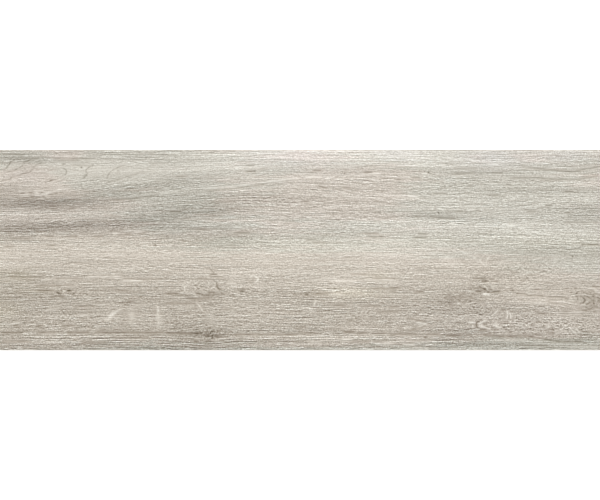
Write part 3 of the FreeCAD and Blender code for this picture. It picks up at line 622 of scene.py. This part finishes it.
in_pocket = inside_grid & (cell.max(1) < MOUTH - 1e-3) & ~corner_out
back = back[~in_pocket]
p = pts[back]
area = (p[:, 1, 0] - p[:, 0, 0]) * (p[:, 2, 1] - p[:, 0, 1]) - (p[:, 1, 1] - p[:, 0, 1]) * (p[:, 2, 0] - p[:, 0, 0])
back = np.where((area > 0)[:, None], back[:, ::-1], back)
add_faces(ids[back].tolist(), 2, 5)

V = np.concatenate(verts)
mesh = bpy.data.meshes.new("plank_tile_detailed")
mesh.from_pydata((V / 1000.0).tolist(), [], faces)
tile = bpy.data.objects.new("plank_tile_detailed", mesh)
bpy.context.scene.collection.objects.link(tile)
mesh.polygons.foreach_set("material_index", np.array(face_mat, dtype=np.int32))
mesh.polygons.foreach_set("use_smooth", np.ones(len(faces), dtype=bool))
mesh.set_sharp_from_angle(angle=math.radians(32))


def put_attribute(name, data):
    kind = "FLOAT_VECTOR" if data.ndim == 2 else "FLOAT"
    att = mesh.attributes.new(name, kind, "POINT")
    full = np.zeros((n_verts, 3) if data.ndim == 2 else n_verts, dtype=np.float32)
    full[: len(data)] = data
    att.data.foreach_set("vector" if data.ndim == 2 else "value", full.ravel())


for name in ("grain", "amp_a", "amp_b", "tone"):
    put_attribute(name, F[name])
for k, dws in enumerate(F["marks"]):
    put_attribute("mark_%d" % k, dws)
for k, dds in enumerate(F["spots"]):
    put_attribute("spot_%d" % k, dds)
print("layers", len(F["marks"]), len(F["spots"]), "relief mm", F["relief"].min(), F["relief"].max(), "faces", len(faces))

# the map that a bake keeps: the wear face takes most of the square
uv = mesh.uv_layers.new(name="OFBake")
loop_vert = np.empty(len(mesh.loops), dtype=np.int32)
mesh.loops.foreach_get("vertex_index", loop_vert)
loop_total = np.empty(len(faces), dtype=np.int32)
mesh.polygons.foreach_get("loop_total", loop_total)
kind = np.repeat(np.array(face_kind), loop_total)
P = V[loop_vert]
along_x = (P[:, 0] + hx) / LENGTH
along_y = (P[:, 1] + hy) / WIDTH
up = P[:, 2] / THICK
UV = np.zeros((len(P), 2))
UV[kind == 0] = np.stack([0.003 + 0.994 * along_x, 0.238 + 0.758 * along_y], -1)[kind == 0]
UV[kind == 1] = np.stack([0.003 + 0.994 * along_x, 0.005 + 0.018 * up], -1)[kind == 1]
UV[kind == 3] = np.stack([0.997 - 0.994 * along_x, 0.029 + 0.018 * up], -1)[kind == 3]
UV[kind == 2] = np.stack([0.003 + 0.45 * along_y, 0.053 + 0.018 * up], -1)[kind == 2]
UV[kind == 4] = np.stack([0.97 - 0.45 * along_y, 0.053 + 0.018 * up], -1)[kind == 4]
UV[kind == 5] = np.stack([0.997 - 0.994 * along_x, 0.078 + 0.152 * along_y], -1)[kind == 5]
uv.data.foreach_set("uv", UV.astype(np.float32).ravel())
mesh.update()
mesh.validate()


# ---------------------------------------------------------------------------
# Materials
# ---------------------------------------------------------------------------
class Net:
    """A material's node tree, with short calls that return sockets."""

    def __init__(self, name):
        self.mat = bpy.data.materials.new(name)
        self.mat.use_nodes = True
        self.t = self.mat.node_tree
        self.t.nodes.clear()

    def node(self, kind, ins=(), **props):
        n = self.t.nodes.new(kind)
        for k, val in props.items():
            setattr(n, k, val)
        for k, val in dict(ins).items():
            if isinstance(val, bpy.types.NodeSocket):
                self.t.links.new(val, n.inputs[k])
            else:
                n.inputs[k].default_value = val
        return n

    def math(self, op, a, b=None, c=None, clamp=False):
        ins = {k: q for k, q in enumerate((a, b, c)) if q is not None}
        return self.node("ShaderNodeMath", ins, operation=op, use_clamp=clamp).outputs[0]

    def vec(self, op, a, b=None, c=None, out=0):
        ins = {k: q for k, q in enumerate((a, b, c)) if q is not None}
        return self.node("ShaderNodeVectorMath", ins, operation=op).outputs[out]

    def attr(self, name):
        return self.node("ShaderNodeAttribute", attribute_name=name).outputs["Vector"]

    def split(self, v):
        return self.node("ShaderNodeSeparateXYZ", {0: v}).outputs

    def join(self, x, y, z):
        return self.node("ShaderNodeCombineXYZ", {0: x, 1: y, 2: z}).outputs[0]

    def noise(self, v, detail=0.0, rough=0.5, lac=2.0):
        ins = {"Vector": v, "Scale": 1.0, "Detail": detail, "Roughness": rough, "Lacunarity": lac, "Distortion": 0.0}
        return self.node("ShaderNodeTexNoise", ins, noise_dimensions="3D").outputs[0]

    def ramp(self, fac, stops):
        n = self.node("ShaderNodeValToRGB", {0: fac})
        r = n.color_ramp
        while len(r.elements) < len(stops):
            r.elements.new(0.5)
        for e, (pos, c) in zip(r.elements, stops):
            e.position = pos
            e.color = (*c, 1) if len(c) == 3 else c
        return n.outputs[0]

    def finish(self, colour, rough, normal, **extra):
        ins = {"Base Color": colour, "Roughness": rough, "Normal": normal}
        ins.update(extra)
        b = self.node("ShaderNodeBsdfPrincipled", ins)
        o = self.node("ShaderNodeOutputMaterial", {0: b.outputs[0]})
        return self.mat


def srgb(r, g, b):
    return tuple((c / 255.0 / 12.92) if c <= 10.3 else ((c / 255.0 + 0.055) / 1.055) ** 2.4 for c in (r, g, b))


def wear_face():
    n = Net("limed_oak_print")
    grain = n.attr("grain")
    amps = n.attr("amp_a"), n.attr("amp_b")

    def through(lu, lv, lean, off, step=0.0):
        """Noise on the grain's coordinates, with a step across the plank."""
        scale = (1.0 / lu, math.cos(lean) / lv, math.sin(lean) / lv)
        start = (off[0], off[1] + step * scale[1], off[2] + step * scale[2])
        return n.noise(n.vec("MULTIPLY_ADD", grain, scale, start))

    def grain_at(step):
        """The grain, or the grain a step further across the plank."""
        dash, pore = [], []
        for lu, lean, off in LAYERS:
            dash.append(through(lu, PORE_ROWS, lean, off, step) if lu else 1.0)
            pore.append(through(PORE_RUN, PORE_ROWS, lean, (off[2], off[0], off[1]), step))
        ridge = n.math("ABSOLUTE", n.math("SUBTRACT", through(*CURL, step), 0.5))
        dash += [1.0, 1.0]
        pore += [n.math("MULTIPLY_ADD", ridge, -2.0, 0.72), 0.5]
        total = None
        for k, amp in zip((0, 3), amps):
            gain = (2.0 * DASH_EDGE,) * 3, (-DASH_EDGE,) * 3
            m = n.vec("MULTIPLY_ADD", n.join(*dash[k : k + 3]), *gain)
            m = n.vec("MINIMUM", n.vec("MAXIMUM", m, (-1, -1, -1)), (1, 1, 1))
            p = n.vec("MULTIPLY_ADD", n.join(*pore[k : k + 3]), (2, 2, 2), (-1, -1, -1))
            d = n.vec("DOT_PRODUCT", n.vec("MULTIPLY", m, p), amp, out="Value")
            total = d if total is None else n.math("ADD", total, d)
        return total

    total = grain_at(0.0)
    # the grain with a painted emboss: a copy one step across is taken away, which paints a highlight on one side of
    # each pore line and shade on the other, as the key light from +Y would show its relief
    grain_with_painted_emboss = n.math("MULTIPLY_ADD", grain_at(EMBOSS_PAINT_STEP), -EMBOSS_PAINT_SHARE, n.math("MULTIPLY", total, 1.0 + EMBOSS_PAINT_SHARE))
    # drawn lines and dots
    drawn = None
    for k in range(len(F["marks"])):
        d, w, s = n.split(n.attr("mark_%d" % k))
        t = n.math("DIVIDE", d, w)
        g = n.math("EXPONENT", n.math("MULTIPLY", n.math("MULTIPLY", t, t), -1.0))
        drawn = n.math("MULTIPLY", g, s) if drawn is None else n.math("MULTIPLY_ADD", g, s, drawn)
    for k in range(len(F["spots"])):
        dx, dy, s = n.split(n.attr("spot_%d" % k))
        r2 = n.math("ADD", n.math("MULTIPLY", dx, dx), n.math("MULTIPLY", dy, dy))
        drawn = n.math("MULTIPLY_ADD", n.math("EXPONENT", n.math("MULTIPLY", r2, -0.5)), s, drawn)

    tone, rg, gb = n.split(n.attr("tone"))
    detail = n.math("MULTIPLY_ADD", grain_with_painted_emboss, COLOUR_DEPTH, drawn)
    stipple = n.noise(n.vec("MULTIPLY_ADD", grain, (1 / 1.3, 1 / 1.3, 0.0), (2.5, 6.1, 0.7)))
    stipple = n.math("MULTIPLY_ADD", stipple, 2 * STIPPLE, -STIPPLE)
    detail = n.math("MULTIPLY_ADD", stipple, n.split(amps[1])[2], detail)
    level = n.math("ADD", n.math("ADD", tone, 190.0), detail)
    # the pale parts of the detail, pale print and painted highlight both, are kept more neutral than the tone of the
    # wood, and the pores are warmer
    pale = n.math("MAXIMUM", detail, -15.0)
    red = n.math("MULTIPLY_ADD", pale, -NEUTRAL[0], n.math("ADD", n.math("ADD", level, rg), 0.8))
    red = n.math("MULTIPLY_ADD", n.math("MAXIMUM", n.math("SUBTRACT", detail, pale), -12.0), NEUTRAL[1], red)
    blue = n.math("MULTIPLY_ADD", detail, NEUTRAL[2], n.math("SUBTRACT", level, gb))
    rgb = n.join(red, level, blue)
    rgb = n.vec("MULTIPLY", rgb, (1 / 255.0,) * 3)
    rgb = n.vec("MAXIMUM", rgb, (0.05, 0.05, 0.05))
    colour = n.node("ShaderNodeGamma", {0: rgb, 1: 2.2}).outputs[0]

    rough = n.math("MULTIPLY_ADD", total, -0.10, 0.60)
    rough = n.math("MULTIPLY_ADD", drawn, -0.003, rough, clamp=True)

    height = n.math("MULTIPLY", total, RELIEF_DEPTH)
    height = n.math("MULTIPLY_ADD", drawn, 0.004, height)
    bump = n.node("ShaderNodeBump", {"Strength": 1.0, "Distance": 0.001, "Height": height})
    return n.finish(colour, rough, bump.outputs[0], **{"Specular IOR Level": 0.35})


def ground_edge():
    """The cut edge: bare porcelain body, ground, under a thin printed skin."""
    n = Net("ground_porcelain_edge")
    pos = n.node("ShaderNodeTexCoord").outputs["Object"]
    x, y, z = n.split(pos)
    zmm = n.math("MULTIPLY", z, 1000.0)
    mottled = n.noise(n.vec("MULTIPLY", pos, (60.0, 60.0, 200.0)), 3.0)
    grit = n.noise(n.vec("MULTIPLY", pos, (1800.0, 1800.0, 1800.0)), 1.0)
    # grinding marks run along the edge
    marks = n.noise(n.vec("MULTIPLY", pos, (40.0, 40.0, 2600.0)), 2.0)
    body = n.ramp(n.math("MULTIPLY_ADD", marks, 0.5, n.math("MULTIPLY", mottled, 0.5)), [(0.25, srgb(176, 168, 154)), (0.55, srgb(190, 182, 168)), (0.8, srgb(201, 194, 181))])
    dark = n.ramp(grit, [(0.30, (0.62, 0.60, 0.57)), (0.38, (1, 1, 1))])
    body = n.node("ShaderNodeMix", {0: 1.0, 6: body, 7: dark}, data_type="RGBA", blend_type="MULTIPLY").outputs[2]
    # the printed skin shows as a line about 0.3 mm thick under the face
    wob = n.math("MULTIPLY_ADD", mottled, 0.2, n.math("SUBTRACT", zmm, 0.1))
    skin = n.math("MULTIPLY", n.math("SUBTRACT", wob, THICK - 0.42), 8.0, clamp=True)
    colour = n.node("ShaderNodeMix", {0: skin, 6: body, 7: (*srgb(203, 198, 187), 1)}, data_type="RGBA").outputs[2]
    rough = n.math("MULTIPLY_ADD", marks, 0.25, 0.5)
    height = n.math("MULTIPLY_ADD", marks, 0.02, n.math("MULTIPLY", grit, 0.015))
    bump = n.node("ShaderNodeBump", {"Strength": 1.0, "Distance": 0.001, "Height": height})
    return n.finish(colour, rough, bump.outputs[0], **{"Specular IOR Level": 0.3})


def pressed_back():
    """The back: pressed body, with pale kiln wash rubbed onto the rib crests."""
    n = Net("pressed_porcelain_back")
    pos = n.node("ShaderNodeTexCoord").outputs["Object"]
    x, y, z = n.split(pos)
    zmm = n.math("MULTIPLY", z, 1000.0)
    cloud = n.noise(n.vec("MULTIPLY", pos, (14.0, 22.0, 14.0)), 3.0)
    fine = n.noise(n.vec("MULTIPLY", pos, (420.0, 420.0, 420.0)), 3.0)
    grit = n.noise(n.vec("MULTIPLY", pos, (1500.0, 1500.0, 1500.0)), 1.0)
    body = n.ramp(n.math("MULTIPLY_ADD", cloud, 0.6, n.math("MULTIPLY", fine, 0.4)), [(0.3, srgb(168, 158, 143)), (0.5, srgb(180, 171, 156)), (0.7, srgb(190, 182, 168))])
    dark = n.ramp(grit, [(0.28, (0.6, 0.57, 0.53)), (0.36, (1, 1, 1))])
    body = n.node("ShaderNodeMix", {0: 1.0, 6: body, 7: dark}, data_type="RGBA", blend_type="MULTIPLY").outputs[2]
    crest = n.math("SUBTRACT", 1.0, n.math("MULTIPLY", zmm, 6.0), clamp=True)
    worn = n.math("MULTIPLY", n.math("SUBTRACT", n.math("MULTIPLY_ADD", fine, 0.7, n.math("MULTIPLY", cloud, 0.6)), 0.45), 4.0, clamp=True)
    wash = n.math("MULTIPLY", crest, n.math("MULTIPLY_ADD", worn, 0.75, 0.1))
    colour = n.node("ShaderNodeMix", {0: wash, 6: body, 7: (*srgb(222, 219, 211), 1)}, data_type="RGBA").outputs[2]
    rough = n.math("MULTIPLY_ADD", fine, 0.2, 0.68)
    height = n.math("MULTIPLY_ADD", fine, 0.06, n.math("MULTIPLY", grit, 0.02))
    bump = n.node("ShaderNodeBump", {"Strength": 1.0, "Distance": 0.001, "Height": height})
    return n.finish(colour, rough, bump.outputs[0], **{"Specular IOR Level": 0.25})


for make in (wear_face, ground_edge, pressed_back):
    mesh.materials.append(make())

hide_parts("plank_tile")
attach(tile, "root")

# ---------------------------------------------------------------------------
# Floor, light and camera
# ---------------------------------------------------------------------------
# a flat floor that turns up into a plain backdrop far behind
sweep = [(5.0, -0.0002), (5.4, 0.02), (5.7, 0.1), (5.9, 0.25), (6.0, 0.5), (6.0, 1.3)]
SIDES = 96
ring = [(math.cos(2 * math.pi * k / SIDES), math.sin(2 * math.pi * k / SIDES)) for k in range(SIDES)]
floor_verts = [(r * cx, r * cy, z) for r, z in sweep for cx, cy in ring]
floor_faces = [tuple(range(SIDES))]
for lap in range(len(sweep) - 1):
    for k in range(SIDES):
        q, nxt = lap * SIDES + k, lap * SIDES + (k + 1) % SIDES
        floor_faces.append((q, q + SIDES, nxt + SIDES, nxt))
floor_mesh = bpy.data.meshes.new("studio_floor")
floor_mesh.from_pydata(floor_verts, [], floor_faces)
floor_mesh.polygons.foreach_set("use_smooth", [False] + [True] * (len(floor_faces) - 1))
floor = bpy.data.objects.new("studio_floor", floor_mesh)
bpy.context.scene.collection.objects.link(floor)
fm = bpy.data.materials.new("studio_floor")
fm.use_nodes = True
fb = fm.node_tree.nodes["Principled BSDF"]
fb.inputs["Base Color"].default_value = (0.8, 0.8, 0.8, 1)
fb.inputs["Roughness"].default_value = 0.9
fb.inputs["Specular IOR Level"].default_value = 0.1
fb.inputs["Emission Color"].default_value = (1, 1, 1, 1)
fb.inputs["Emission Strength"].default_value = 0.72
floor_mesh.materials.append(fm)

scene = bpy.context.scene
world = bpy.data.worlds.new("studio")
scene.world = world
world.use_nodes = True
bg = world.node_tree.nodes["Background"]
bg.inputs[0].default_value = (1, 1, 1, 1)
bg.inputs[1].default_value = 0.42

sun = bpy.data.lights.new("key", "SUN")
sun.energy = 2.25
sun.angle = math.radians(14)
key = bpy.data.objects.new("key", sun)
key.rotation_euler = Vector((0.25, -1.0, -1.0)).to_track_quat("-Z", "Y").to_euler()
scene.collection.objects.link(key)

cam_data = bpy.data.cameras.new("camera")
cam_data.type = "PERSP"
cam_data.sensor_fit = "HORIZONTAL"
cam_data.sensor_width = 36.0
cam_data.lens = 100.0
cam_data.clip_end = 50.0
cam = bpy.data.objects.new("camera", cam_data)
cam.location = (0.0, 0.0, (THICK + LENGTH / FILL * 100.0 / 36.0) / 1000.0)
cam.rotation_euler = (0.0, 0.0, 0.0)
scene.collection.objects.link(cam)
scene.camera = cam
scene.view_settings.view_transform = "Standard"
